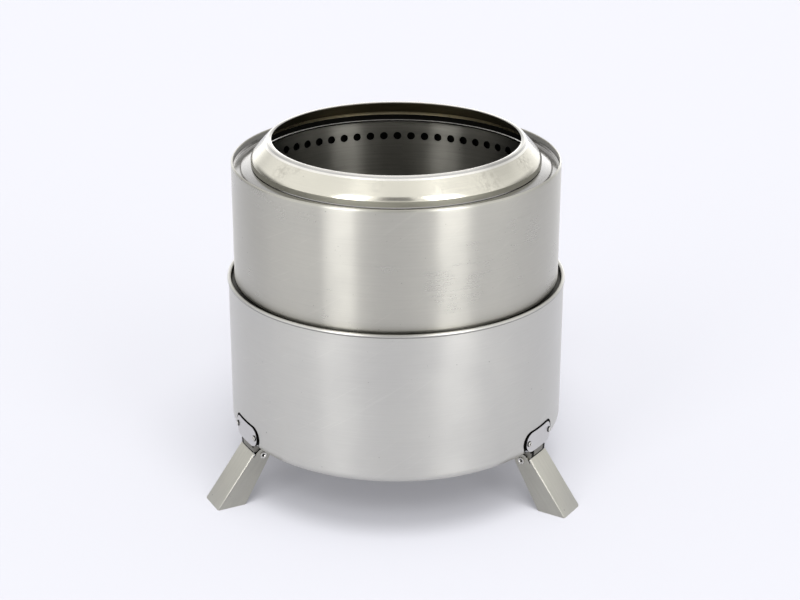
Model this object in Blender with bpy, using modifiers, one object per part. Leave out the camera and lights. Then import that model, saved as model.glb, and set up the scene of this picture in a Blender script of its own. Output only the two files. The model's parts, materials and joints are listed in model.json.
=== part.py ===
"""Portable double-walled fire pit on three folding legs.

A drawn base shell with a rolled rim carries three riveted leg brackets.
A double-walled drum with a perforated inner wall stands on a seat ring just
below that rim, and a conical flame ring rests on the drum's shoulder.

Metres, +Z up. The origin is on the drum's axis, at the floor under the feet.
"""

import math

import bmesh
import bpy
from mathutils import Matrix, Vector

# Clearances and mesh density
GAP = 0.0003
MERGE = 0.00001
TURN_STEPS = 48
LOOSE_STEPS = 32
SEAT_STEPS = 24
SMALL_STEPS = 12
HOLE_SIDES = 8
BEND_STEPS = 3
SMOOTH_ANGLE = math.radians(34)

# Stance, hinges and legs
STANCE = 0.0570
LEG_COUNT = 3
FIRST_LEG_ANGLE = math.radians(90)
HINGE_DROP = 0.0090
HINGE_INSET = 0.0105
LEG_SLOPE_ANGLE = math.radians(53.5)
LEG_TAPER_ANGLE = math.radians(6.4)
LEG_WIDTH = 0.0300
LEG_SHEET = 0.0015
LEG_BEND = 0.0022
LEG_WEB_OFFSET = 0.0100
LEG_WEB_START = 0.0030
LEG_EYE = 0.0076
RELIEF_DEPTH = 0.0032
PIN_RADIUS = 0.0024
PIN_HEAD_RADIUS = 0.0033
PIN_HEAD_HEIGHT = 0.0009

# Base shell, floor pan and seat ring
SHELL_RADIUS = 0.1600
SHELL_WALL = 0.0010
SHELL_HEIGHT = 0.1470
SHELL_CORNER = 0.0090
SHELL_LIP_WIDTH = 0.0130
RIM_BEAD = 0.0018
RIM_BEAD_OUT = 0.0012
PAN_WALL = 0.0010
PAN_HEIGHT = 0.0380
PAN_VENTS = 12
PAN_VENT_RADIUS = 0.0070
PAN_VENT_CIRCLE = 0.1220
SEAT_SHEET = 0.0012
SEAT_BEND = 0.0025
SEAT_LAP = 0.0040
SEAT_SKIRT = 0.0120
SEAT_DROP = 0.0035

# Leg brackets and rivets
PLATE_LENGTH = 0.0460
PLATE_HEIGHT = 0.0196
PLATE_SHEET = 0.0020
PLATE_RISE = 0.0126
PLATE_STEPS = 6
WINDOW_GAP = 0.0015
WINDOW_END_GAP = 0.0036
SLOT_GAP = 0.0018
NECK_INSET = 0.0014
EAR_SHEET = 0.0020
EAR_EYE = 0.0062
RIVET_SPACING = 0.0380
RIVET_SHANK = 0.0017
RIVET_HEAD_RADIUS = 0.0029
RIVET_HEAD_HEIGHT = 0.0014
RIVET_TAIL_RADIUS = 0.0026
RIVET_TAIL_HEIGHT = 0.0010

# Drum
DRUM_CLEARANCE = 0.0048
DRUM_WALL = 0.0010
DRUM_HEIGHT = 0.1178
DRUM_CORNER = 0.0120
COLLAR_RADIUS = 0.1160
COLLAR_BEND = 0.0020
COLLAR_HEIGHT = 0.0105
INLETS = 12
INLET_RADIUS = 0.0060
AIR_GAP = 0.0059
CUP_WALL = 0.0008
CUP_CORNER = 0.0060
CUP_TOP_DROP = 0.0102
GRATE_OPENING = 0.1000
JETS = 67
JET_RADIUS = 0.0040
JET_DROP = 0.0145
JET_PHASE_ANGLE = math.radians(2.1)

# Shoulder ring between the two walls
SHOULDER_SHEET = 0.0008
SHOULDER_TREAD = 0.0137
SHOULDER_INNER_LIP = 0.0022
SHOULDER_TREAD_RISE = 0.0049
SHOULDER_STEP_RISE = 0.0027
SHOULDER_BEND = 0.0009
SHOULDER_FLANGE = 0.0031

# Flame ring
RING_SHEET = 0.0010
RING_SEAT = 0.0028
RING_RUN = 0.0194
RING_CORNER_RISE = 0.0060
RING_HEIGHT = 0.0232
RING_LIP_BEND = 0.0050
RING_CORNER_BEND = 0.0012

# Fire grate
GRATE_SHEET = 0.0015
GRATE_LAP = 0.0120
GRATE_DISH = 0.0040
GRATE_DISH_GAP = 0.0020
GRATE_RINGS = 2
GRATE_PITCH = 0.0360
GRATE_HOLE_RADIUS = 0.0090

# Ash pan
ASH_RADIUS = 0.1050
ASH_HEIGHT = 0.0200
ASH_SHEET = 0.0008
ASH_CORNER = 0.0050
ASH_RIM = 0.0040

# Heights above the floor that follow from the sizes above
RIM_Z = STANCE + SHELL_HEIGHT
PAN_Z = STANCE + SHELL_WALL + GAP
DRUM_Z = RIM_Z - SEAT_DROP
SEAT_Z = DRUM_Z - GAP
DRUM_TOP_Z = DRUM_Z + DRUM_HEIGHT
CUP_Z = DRUM_Z + COLLAR_HEIGHT + GAP
CUP_TOP_Z = DRUM_TOP_Z - CUP_TOP_DROP
SHOULDER_Z = CUP_TOP_Z + GAP + SHOULDER_SHEET
RING_Z = SHOULDER_Z + SHOULDER_TREAD_RISE + GAP
GRATE_Z = CUP_Z + CUP_WALL + GAP
ASH_Z = PAN_Z + PAN_WALL + GAP
HINGE_Z = STANCE - HINGE_DROP
HINGE_RADIUS = SHELL_RADIUS - HINGE_INSET
PLATE_Z = STANCE + PLATE_RISE

# Radii that follow from the sizes above
SHELL_INSIDE = SHELL_RADIUS - SHELL_WALL
PAN_RADIUS = SHELL_INSIDE - GAP
PLATE_INSIDE = PAN_RADIUS + GAP
PLATE_OUTSIDE = PLATE_INSIDE + PLATE_SHEET
DRUM_RADIUS = SHELL_INSIDE - DRUM_CLEARANCE
SEAT_OUTER_RADIUS = SHELL_INSIDE - GAP
SEAT_INNER_RADIUS = DRUM_RADIUS - DRUM_CORNER - SEAT_LAP
CUP_RADIUS = DRUM_RADIUS - DRUM_WALL - AIR_GAP
CUP_INNER_RADIUS = CUP_RADIUS - CUP_WALL
SHOULDER_INNER_RADIUS = CUP_INNER_RADIUS - SHOULDER_TREAD
RING_SKIRT_RADIUS = SHOULDER_INNER_RADIUS + RING_SEAT
RING_OPENING = RING_SKIRT_RADIUS - RING_RUN
GRATE_RADIUS = GRATE_OPENING + GRATE_LAP

# Directions in a leg's own upright plane, where x runs outward and y up
LEG_DOWN = Vector((math.cos(LEG_SLOPE_ANGLE), -math.sin(LEG_SLOPE_ANGLE)))
LEG_OUT = Vector((math.sin(LEG_SLOPE_ANGLE), math.cos(LEG_SLOPE_ANGLE)))

STEEL = (0.60, 0.59, 0.57, 1.0)
WARM_STEEL = (0.64, 0.62, 0.55, 1.0)
DARK_STEEL = (0.30, 0.29, 0.27, 1.0)


def clear_scene():
    """Start from a scene with nothing in it."""
    for item in list(bpy.data.objects):
        bpy.data.objects.remove(item, do_unlink=True)


def new_collection(name):
    """A collection linked to the scene."""
    collection = bpy.data.collections.new(name)
    bpy.context.scene.collection.children.link(collection)
    return collection


def steel(name, colour, roughness):
    """A bare metal material."""
    material = bpy.data.materials.new(name)
    material.use_nodes = True
    shader = material.node_tree.nodes["Principled BSDF"]
    shader.inputs["Base Color"].default_value = colour
    shader.inputs["Metallic"].default_value = 1.0
    shader.inputs["Roughness"].default_value = roughness
    return material


def arc(centre, radius, start, end, steps):
    """Points on an arc, both ends included; angles in degrees."""
    points = []
    for i in range(steps + 1):
        angle = math.radians(start + (end - start) * i / steps)
        points.append((centre[0] + radius * math.cos(angle),
                       centre[1] + radius * math.sin(angle)))
    return points


def mesh_object(name, mesh, collection):
    """An object that holds a mesh."""
    item = bpy.data.objects.new(name, mesh)
    collection.objects.link(item)
    return item


def profile_object(name, points, collection):
    """Joined edges through (radius, height) points in the XZ plane."""
    mesh = bpy.data.meshes.new(name)
    edges = [(i, i + 1) for i in range(len(points) - 1)]
    mesh.from_pydata([(r, 0.0, z) for r, z in points], edges, [])
    return mesh_object(name, mesh, collection)


def add_turn(item, steps=TURN_STEPS, angle=math.tau):
    """Turn an object's profile about its Z axis."""
    screw = item.modifiers.new("Turn", "SCREW")
    screw.axis = "Z"
    screw.angle = angle
    screw.steps = steps
    screw.render_steps = steps
    screw.use_merge_vertices = True
    screw.merge_threshold = MERGE
    screw.use_normal_calculate = False


def turned_sheet(name, points, sheet, collection, steps=TURN_STEPS, angle=math.tau):
    """A turned shell whose outer surface follows the profile."""
    item = profile_object(name, points, collection)
    add_turn(item, steps, angle)
    wall = item.modifiers.new("Sheet", "SOLIDIFY")
    wall.thickness = sheet
    wall.offset = -1.0
    wall.use_even_offset = True
    return item


def turned_solid(name, points, collection, steps=SMALL_STEPS):
    """A solid of revolution whose profile starts and ends on the axis."""
    item = profile_object(name, points, collection)
    add_turn(item, steps)
    return item


def settle(item):
    """Replace an object's data by its evaluated mesh, with its caps welded."""
    graph = bpy.context.evaluated_depsgraph_get()
    mesh = bpy.data.meshes.new_from_object(item.evaluated_get(graph))
    shape = bmesh.new()
    shape.from_mesh(mesh)
    bmesh.ops.remove_doubles(shape, verts=shape.verts, dist=MERGE)
    bmesh.ops.dissolve_degenerate(shape, edges=shape.edges, dist=MERGE / 10)
    bmesh.ops.recalc_face_normals(shape, faces=shape.faces)
    shape.to_mesh(mesh)
    shape.free()
    collection = item.users_collection[0]
    placed = mesh_object(item.name + "_mesh", mesh, collection)
    placed.matrix_world = item.matrix_world
    name = item.name
    bpy.data.objects.remove(item, do_unlink=True)
    placed.name = name
    mesh.name = name
    return placed


def plate_from_outline(name, points, thickness, collection):
    """A flat plate from an outline in the XZ plane, centred on Y = 0."""
    curve = bpy.data.curves.new(name, "CURVE")
    curve.dimensions = "2D"
    curve.fill_mode = "BOTH"
    curve.extrude = thickness / 2
    spline = curve.splines.new("POLY")
    spline.points.add(len(points) - 1)
    for point, (x, y) in zip(spline.points, points):
        point.co = (x, y, 0.0, 1.0)
    spline.use_cyclic_u = True
    item = bpy.data.objects.new(name, curve)
    collection.objects.link(item)
    bpy.context.view_layer.update()
    placed = settle(item)
    placed.data.transform(Matrix.Rotation(math.radians(90), 4, "X"))
    return placed


def drill_set(name, places, radius, length, sides, cutters):
    """One cutter made of rods; each place is a matrix that carries +Z along its rod."""
    shape = bmesh.new()
    for place in places:
        bmesh.ops.create_cone(shape, cap_ends=True, segments=sides, radius1=radius,
                              radius2=radius, depth=length, matrix=place)
    mesh = bpy.data.meshes.new(name)
    shape.to_mesh(mesh)
    shape.free()
    return as_cutter(mesh_object(name, mesh, cutters))


def as_cutter(item):
    """Keep an object out of renders and show it as a wire."""
    item.hide_render = True
    item.display_type = "WIRE"
    return item


def combine(item, other, operation):
    """Cut, join or intersect with another closed object."""
    change = item.modifiers.new(operation.title(), "BOOLEAN")
    change.operation = operation
    change.solver = "EXACT"
    change.object = other


def finish(item, material, smooth=True):
    """Freeze the modifiers, shade the rounds smooth and set the material."""
    bpy.context.view_layer.update()
    item = settle(item)
    if smooth:
        item.data.shade_smooth()
        item.data.set_sharp_from_angle(angle=SMOOTH_ANGLE)
    item.data.materials.clear()
    item.data.materials.append(material)
    return item


def leg_azimuths():
    """Azimuth of each leg about the drum's axis."""
    return [FIRST_LEG_ANGLE + math.tau * i / LEG_COUNT for i in range(LEG_COUNT)]


def around(azimuth):
    """Rotation about the drum's axis."""
    return Matrix.Rotation(azimuth, 4, "Z")


def rods_on_circle(count, radius, height, phase=0.0):
    """Upright rods evenly spaced on a circle."""
    return [around(phase + math.tau * i / count) @ Matrix.Translation((radius, 0, height))
            for i in range(count)]


def rods_through_wall(count, radius, height, phase=0.0):
    """Radial rods evenly spaced round a wall."""
    outward = Matrix.Rotation(math.radians(90), 4, "Y")
    return [around(phase + math.tau * i / count) @ Matrix.Translation((radius, 0, height)) @ outward
            for i in range(count)]


def rivet_angle():
    """Angle between a bracket's centre and either of its rivets."""
    return math.asin(RIVET_SPACING / 2 / PLATE_OUTSIDE)


def rivet_rods(length_centre):
    """Radial matrices at all the rivets of the base."""
    outward = Matrix.Rotation(math.radians(90), 4, "Y")
    rods = []
    for azimuth in leg_azimuths():
        for side in (-1, 1):
            turn = around(azimuth + side * rivet_angle())
            rods.append(turn @ Matrix.Translation((length_centre, 0, PLATE_Z)) @ outward)
    return rods


def window_outline():
    """The opening round one bracket plate, with the slot below it for the neck."""
    half_height = PLATE_HEIGHT / 2 + WINDOW_GAP
    end = (PLATE_LENGTH - PLATE_HEIGHT) / 2 + WINDOW_END_GAP - WINDOW_GAP
    slot = LEG_WIDTH / 2 - LEG_SHEET - GAP + SLOT_GAP
    low = STANCE - SHELL_CORNER
    points = [(-slot, low), (-slot, PLATE_Z - half_height)]
    points += arc((-end, PLATE_Z), half_height, -90, -270, 2 * BEND_STEPS)
    points += arc((end, PLATE_Z), half_height, 90, -90, 2 * BEND_STEPS)
    points += [(slot, PLATE_Z - half_height), (slot, low)]
    return points


def build_base_shell(parts, cutters, material):
    """The outer shell, with a rolled rim, a round lower corner and three windows."""
    bead_x = SHELL_RADIUS + RIM_BEAD_OUT - RIM_BEAD
    wall_angle = -math.degrees(math.acos((SHELL_RADIUS - bead_x) / RIM_BEAD))
    points = arc((bead_x, SHELL_HEIGHT), RIM_BEAD, 200, wall_angle, 2 * BEND_STEPS)
    points += arc((SHELL_RADIUS - SHELL_CORNER, SHELL_CORNER), SHELL_CORNER, 0, -90, BEND_STEPS)
    points.append((SHELL_RADIUS - SHELL_CORNER - SHELL_LIP_WIDTH, 0.0))
    shell = turned_sheet("base_shell", points, SHELL_WALL, parts)
    shell.location.z = STANCE
    depth = 2.2 * SHELL_CORNER
    for i, azimuth in enumerate(leg_azimuths()):
        window = plate_from_outline(f"window_{i + 1}", window_outline(), depth, cutters)
        window.matrix_world = (around(azimuth) @ Matrix.Translation((SHELL_RADIUS, 0, 0))
                               @ Matrix.Rotation(math.radians(90), 4, "Z"))
        combine(shell, as_cutter(window), "DIFFERENCE")
    return finish(shell, material)


def build_base_pan(parts, cutters, material):
    """The floor pan inside the shell, with air vents and the rivets' holes."""
    corner = SHELL_CORNER - SHELL_WALL - GAP
    points = [(PAN_RADIUS, PAN_HEIGHT)]
    points += arc((PAN_RADIUS - corner, corner), corner, 0, -90, BEND_STEPS)
    points.append((0.0, 0.0))
    pan = turned_sheet("base_pan", points, PAN_WALL, parts)
    pan.location.z = PAN_Z
    vents = drill_set("pan_vents", rods_on_circle(PAN_VENTS, PAN_VENT_CIRCLE, PAN_Z),
                      PAN_VENT_RADIUS, 8 * PAN_WALL, HOLE_SIDES, cutters)
    combine(pan, vents, "DIFFERENCE")
    holes = drill_set("pan_rivet_holes", rivet_rods(PAN_RADIUS), RIVET_SHANK + GAP,
                      8 * PAN_WALL, HOLE_SIDES, cutters)
    combine(pan, holes, "DIFFERENCE")
    return finish(pan, material)


def build_seat_ring(parts, material):
    """The ledge that the drum stands on, with a skirt against the shell."""
    outer = SEAT_OUTER_RADIUS
    points = [(SEAT_INNER_RADIUS, 0.0)]
    points += arc((outer - SEAT_BEND, -SEAT_BEND), SEAT_BEND, 90, 0, BEND_STEPS)
    points.append((outer, -SEAT_SKIRT))
    ring = turned_sheet("seat_ring", points, SEAT_SHEET, parts, steps=SEAT_STEPS)
    ring.location.z = SEAT_Z
    return finish(ring, material)


def build_bracket(name, azimuth, parts, cutters, material):
    """A curved plate with a neck bent in below it and two ears for the hinge pin."""
    web_top = HINGE_Z + LEG_OUT.y * LEG_WEB_OFFSET + LEG_DOWN.y * LEG_WEB_START
    plate_top = PLATE_Z + PLATE_HEIGHT / 2
    plate_low = PLATE_Z - PLATE_HEIGHT / 2
    neck_end = web_top + GAP
    profile = [(PLATE_OUTSIDE, plate_top + GAP), (PLATE_OUTSIDE, plate_low + NECK_INSET),
               (PLATE_OUTSIDE - NECK_INSET, neck_end)]
    plate_arc = math.tau * PLATE_STEPS / TURN_STEPS
    bracket = turned_sheet(name, profile, PLATE_SHEET, parts, PLATE_STEPS, plate_arc)
    bracket.rotation_euler.z = azimuth - plate_arc / 2
    bpy.context.view_layer.update()

    neck_half = LEG_WIDTH / 2 - LEG_SHEET - GAP
    end = PLATE_LENGTH / 2 - PLATE_HEIGHT / 2
    outline = [(-neck_half + GAP, neck_end - NECK_INSET), (-neck_half + GAP, plate_low)]
    outline += arc((-end, PLATE_Z), PLATE_HEIGHT / 2, -90, -270, 2 * BEND_STEPS)
    outline += arc((end, PLATE_Z), PLATE_HEIGHT / 2, 90, -90, 2 * BEND_STEPS)
    outline += [(neck_half - GAP, plate_low), (neck_half - GAP, neck_end - NECK_INSET)]
    stencil = plate_from_outline(name + "_stencil", outline, 10 * PLATE_SHEET, cutters)
    stencil.matrix_world = (around(azimuth) @ Matrix.Translation((PLATE_OUTSIDE, 0, 0))
                            @ Matrix.Rotation(math.radians(90), 4, "Z"))
    combine(bracket, as_cutter(stencil), "INTERSECT")

    middle = PLATE_OUTSIDE - PLATE_SHEET / 2
    ear = [(middle - GAP, plate_low + GAP), (middle - NECK_INSET - GAP, neck_end + GAP)]
    ear += arc((HINGE_RADIUS, HINGE_Z), EAR_EYE, -30, -225, 2 * BEND_STEPS)
    ear.append((PLATE_INSIDE - EAR_EYE / 2, STANCE + GAP))
    for side in (-1, 1):
        lug = plate_from_outline(f"{name}_ear_{side + 1}", ear, EAR_SHEET, cutters)
        lug.matrix_world = (around(azimuth)
                            @ Matrix.Translation((0, side * (neck_half - EAR_SHEET / 2), 0)))
        combine(bracket, as_cutter(lug), "UNION")

    across = around(azimuth) @ Matrix.Translation((HINGE_RADIUS, 0, HINGE_Z))
    bore = drill_set(name + "_bore", [across @ Matrix.Rotation(math.radians(90), 4, "X")],
                     PIN_RADIUS + GAP, 2 * LEG_WIDTH, SMALL_STEPS, cutters)
    combine(bracket, bore, "DIFFERENCE")
    outward = Matrix.Rotation(math.radians(90), 4, "Y")
    rods = [around(azimuth + side * rivet_angle())
            @ Matrix.Translation((PLATE_OUTSIDE, 0, PLATE_Z)) @ outward for side in (-1, 1)]
    holes = drill_set(name + "_rivet_holes", rods, RIVET_SHANK + GAP, 6 * PLATE_SHEET,
                      HOLE_SIDES, cutters)
    combine(bracket, holes, "DIFFERENCE")
    return finish(bracket, material)


def build_rivets(parts, material):
    """The rivets that hold the brackets to the pan, two to a bracket, sharing one mesh."""
    flat = math.cos(math.pi / TURN_STEPS)
    head_z = PLATE_OUTSIDE + GAP / 2
    tail_z = (PAN_RADIUS - PAN_WALL) * flat - GAP
    dome = arc((0.0, 0.0), 1.0, 90, 0, 2)
    points = [(RIVET_HEAD_RADIUS * x, head_z + RIVET_HEAD_HEIGHT * y) for x, y in dome]
    points[0] = (0.0, points[0][1])
    points += [(RIVET_SHANK, head_z), (RIVET_SHANK, tail_z), (RIVET_TAIL_RADIUS, tail_z),
               (RIVET_TAIL_RADIUS, tail_z - RIVET_TAIL_HEIGHT), (0.0, tail_z - RIVET_TAIL_HEIGHT)]
    first = finish(turned_solid("rivet_1", points, parts, HOLE_SIDES), material)
    for i, place in enumerate(rivet_rods(0.0), start=1):
        rivet = first if i == 1 else mesh_object(f"rivet_{i}", first.data, parts)
        rivet.matrix_world = place


def hinge_frame(index, azimuth, parts):
    """An empty on one hinge axis, with its X outward and its Y along the pin."""
    empty = bpy.data.objects.new(f"hinge_axis_{index}", None)
    parts.objects.link(empty)
    empty.location = (HINGE_RADIUS * math.cos(azimuth), HINGE_RADIUS * math.sin(azimuth), HINGE_Z)
    empty.rotation_euler.z = azimuth
    return empty


def build_pin(name, hinge, parts, material):
    """A hinge pin with a low head outside each of the leg's flanges."""
    seat = LEG_WIDTH / 2 + GAP
    end = seat + PIN_HEAD_HEIGHT
    half = [(0.0, end), (PIN_HEAD_RADIUS, end), (PIN_HEAD_RADIUS, seat), (PIN_RADIUS, seat)]
    points = half + [(r, -z) for r, z in reversed(half)]
    pin = turned_solid(name, points, parts)
    pin.rotation_euler.x = math.radians(90)
    pin = finish(pin, material)
    pin.parent = hinge
    return pin


def leg_outline():
    """One flange of a leg about its pin, x outward and y up, from the eye to the floor."""
    edge = math.degrees(LEG_SLOPE_ANGLE + LEG_TAPER_ANGLE)
    eye_side = LEG_OUT * LEG_EYE
    slot_low = LEG_WEB_START + RELIEF_DEPTH
    web_inside = LEG_OUT * (LEG_WEB_OFFSET - LEG_SHEET)
    web_outside = LEG_OUT * LEG_WEB_OFFSET
    floor = -HINGE_Z
    points = arc((0.0, 0.0), LEG_EYE, 270 - edge, 90 - math.degrees(LEG_SLOPE_ANGLE), 2 * BEND_STEPS)
    points += [tuple(eye_side + LEG_DOWN * slot_low), tuple(web_inside + LEG_DOWN * slot_low),
               tuple(web_inside + LEG_DOWN * LEG_WEB_START),
               tuple(web_outside + LEG_DOWN * LEG_WEB_START)]
    reach = (floor - web_outside.y) / LEG_DOWN.y
    points.append(tuple(web_outside + LEG_DOWN * reach))
    inner_start = Vector(points[0])
    inner_down = Vector((math.cos(math.radians(edge)), -math.sin(math.radians(edge))))
    reach = (floor - inner_start.y) / inner_down.y
    points.append(tuple(inner_start + inner_down * reach))
    return points


def round_leg_bends(block):
    """Round the two long outer edges where the web turns into the flanges."""
    shape = bmesh.new()
    shape.from_mesh(block.data)
    bends = []
    for edge in shape.edges:
        a, b = (v.co for v in edge.verts)
        along = (b - a)
        on_web = all(abs(v.x * LEG_OUT.x + v.z * LEG_OUT.y - LEG_WEB_OFFSET) < MERGE for v in (a, b))
        if on_web and abs(along.y) < MERGE and along.length > LEG_WIDTH:
            bends.append(edge)
    bmesh.ops.bevel(shape, geom=bends, offset=LEG_BEND, segments=3, profile=0.5,
                    affect="EDGES", clamp_overlap=True)
    shape.to_mesh(block.data)
    shape.free()


def build_leg(name, hinge, parts, cutters, material):
    """A folding leg: a tapered channel whose flanges turn on the hinge pin."""
    leg = plate_from_outline(name, leg_outline(), LEG_WIDTH, parts)
    round_leg_bends(leg)
    inside = LEG_OUT * (LEG_WEB_OFFSET - LEG_SHEET)
    long = LEG_DOWN * (2 * LEG_WIDTH + STANCE)
    deep = LEG_OUT * (-4 * LEG_WIDTH)
    top = LEG_DOWN * (-2 * LEG_EYE)
    channel = [tuple(inside + top), tuple(inside + long), tuple(inside + long + deep),
               tuple(inside + top + deep)]
    hollow = plate_from_outline(name + "_channel", channel, LEG_WIDTH - 2 * LEG_SHEET, cutters)
    combine(leg, as_cutter(hollow), "DIFFERENCE")
    bore = drill_set(name + "_bore", [Matrix.Rotation(math.radians(90), 4, "X")],
                     PIN_RADIUS + GAP, 2 * LEG_WIDTH, SMALL_STEPS, cutters)
    combine(leg, bore, "DIFFERENCE")
    leg = finish(leg, material)
    leg.parent = hinge
    return leg


def build_drum_outer(parts, cutters, material):
    """The drum's outer wall, turned in at the bottom and up into a collar."""
    points = [(DRUM_RADIUS, DRUM_HEIGHT)]
    points += arc((DRUM_RADIUS - DRUM_CORNER, DRUM_CORNER), DRUM_CORNER, 0, -90, BEND_STEPS)
    points += arc((COLLAR_RADIUS + COLLAR_BEND, COLLAR_BEND), COLLAR_BEND, -90, -180, 1)
    points.append((COLLAR_RADIUS, COLLAR_HEIGHT))
    wall = turned_sheet("drum_outer_wall", points, DRUM_WALL, parts)
    wall.location.z = DRUM_Z
    circle = (COLLAR_RADIUS + SEAT_INNER_RADIUS) / 2
    inlets = drill_set("drum_inlets", rods_on_circle(INLETS, circle, DRUM_Z), INLET_RADIUS,
                       6 * DRUM_WALL, HOLE_SIDES, cutters)
    combine(wall, inlets, "DIFFERENCE")
    return finish(wall, material)


def build_drum_inner(parts, cutters, material):
    """The burn chamber: a cup with a ring of air jets near its top."""
    radius = CUP_RADIUS
    points = [(radius, CUP_TOP_Z - CUP_Z)]
    points += arc((radius - CUP_CORNER, CUP_CORNER), CUP_CORNER, 0, -90, 2)
    points.append((GRATE_OPENING, 0.0))
    cup = turned_sheet("drum_inner_wall", points, CUP_WALL, parts)
    cup.location.z = CUP_Z
    rods = rods_through_wall(JETS, radius, CUP_TOP_Z - JET_DROP, math.radians(90) + JET_PHASE_ANGLE)
    jets = drill_set("drum_jets", rods, JET_RADIUS, 8 * CUP_WALL, HOLE_SIDES, cutters)
    combine(cup, jets, "DIFFERENCE")
    return finish(cup, material)


def build_shoulder(parts, material):
    """The ring that closes the air space and carries the flame ring."""
    step = CUP_INNER_RADIUS - GAP - SHOULDER_SHEET
    flange = DRUM_RADIUS - DRUM_WALL - GAP - SHOULDER_SHEET
    bend = SHOULDER_BEND
    points = [(SHOULDER_INNER_RADIUS, SHOULDER_TREAD_RISE - SHOULDER_INNER_LIP - bend),
              (SHOULDER_INNER_RADIUS, SHOULDER_TREAD_RISE - bend),
              (SHOULDER_INNER_RADIUS + bend, SHOULDER_TREAD_RISE),
              (step - bend, SHOULDER_STEP_RISE),
              (step, SHOULDER_STEP_RISE - bend),
              (step, bend),
              (step + bend, 0.0),
              (flange - bend, 0.0),
              (flange, bend),
              (flange, SHOULDER_FLANGE)]
    ring = turned_sheet("shoulder_ring", points, SHOULDER_SHEET, parts)
    ring.location.z = SHOULDER_Z
    return finish(ring, material)


def build_flame_ring(parts, material):
    """The loose conical ring that draws the flame in over the air jets."""
    rise = RING_HEIGHT - RING_CORNER_RISE
    slope = math.degrees(math.atan2(rise, RING_RUN))
    lip_x = RING_OPENING + RING_LIP_BEND * math.sin(math.radians(20))
    points = arc((lip_x, RING_HEIGHT - RING_LIP_BEND), RING_LIP_BEND, 110, 90 - slope, BEND_STEPS)
    points += arc((RING_SKIRT_RADIUS - RING_CORNER_BEND, RING_CORNER_RISE - RING_CORNER_BEND),
                  RING_CORNER_BEND, 90 - slope, 0, 2)
    points.append((RING_SKIRT_RADIUS, 0.0))
    ring = turned_sheet("flame_ring", points, RING_SHEET, parts)
    ring.location.z = RING_Z
    return finish(ring, material)


def build_grate(parts, cutters, material):
    """The dished fire grate that lies in the opening of the drum's floor."""
    dish = GRATE_OPENING - GRATE_DISH_GAP
    points = [(0.0, -GRATE_DISH), (dish - GRATE_DISH, -GRATE_DISH), (dish, 0.0),
              (GRATE_RADIUS, 0.0)]
    grate = turned_sheet("fire_grate", points, GRATE_SHEET, parts, steps=LOOSE_STEPS)
    grate.location.z = GRATE_Z + GRATE_SHEET
    rods = [Matrix.Translation((0, 0, GRATE_Z))]
    for ring in range(1, GRATE_RINGS + 1):
        rods += rods_on_circle(6 * ring, GRATE_PITCH * ring, GRATE_Z, ring * math.pi / 18)
    holes = drill_set("grate_holes", rods, GRATE_HOLE_RADIUS, 8 * GRATE_DISH, HOLE_SIDES, cutters)
    combine(grate, holes, "DIFFERENCE")
    return finish(grate, material)


def build_ash_pan(parts, material):
    """The loose tray that catches ash on the floor of the base."""
    points = [(ASH_RADIUS + ASH_RIM, ASH_HEIGHT), (ASH_RADIUS, ASH_HEIGHT)]
    points += arc((ASH_RADIUS - ASH_CORNER, ASH_CORNER), ASH_CORNER, 0, -90, 2)
    points.append((0.0, 0.0))
    pan = turned_sheet("ash_pan", points, ASH_SHEET, parts, steps=LOOSE_STEPS)
    pan.location.z = ASH_Z
    return finish(pan, material)


def main():
    """Model the whole fire pit."""
    clear_scene()
    parts = new_collection("fire_pit")
    cutters = new_collection("cutters")
    satin = steel("satin_steel", STEEL, 0.34)
    leg_steel = steel("leg_steel", WARM_STEEL, 0.40)
    inner_steel = steel("inner_steel", DARK_STEEL, 0.42)
    bright = steel("bright_steel", WARM_STEEL, 0.24)

    build_base_shell(parts, cutters, satin)
    build_base_pan(parts, cutters, inner_steel)
    build_seat_ring(parts, inner_steel)
    build_rivets(parts, bright)
    for i, azimuth in enumerate(leg_azimuths(), start=1):
        hinge = hinge_frame(i, azimuth, parts)
        bpy.context.view_layer.update()
        build_bracket(f"leg_bracket_{i}", azimuth, parts, cutters, satin)
        build_pin(f"hinge_pin_{i}", hinge, parts, bright)
        build_leg(f"leg_{i}", hinge, parts, cutters, leg_steel)
    build_drum_outer(parts, cutters, satin)
    build_drum_inner(parts, cutters, inner_steel)
    build_shoulder(parts, satin)
    build_flame_ring(parts, bright)
    build_grate(parts, cutters, inner_steel)
    build_ash_pan(parts, inner_steel)


main()
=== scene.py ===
"""Looks for the portable fire pit: smooth brushed-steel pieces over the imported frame.

Metres, in the frame of the CAD: +Z up, origin on the drum's axis at the floor.
"""

import json
import math

import bmesh
import bpy
from mathutils import Matrix, Vector

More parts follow.
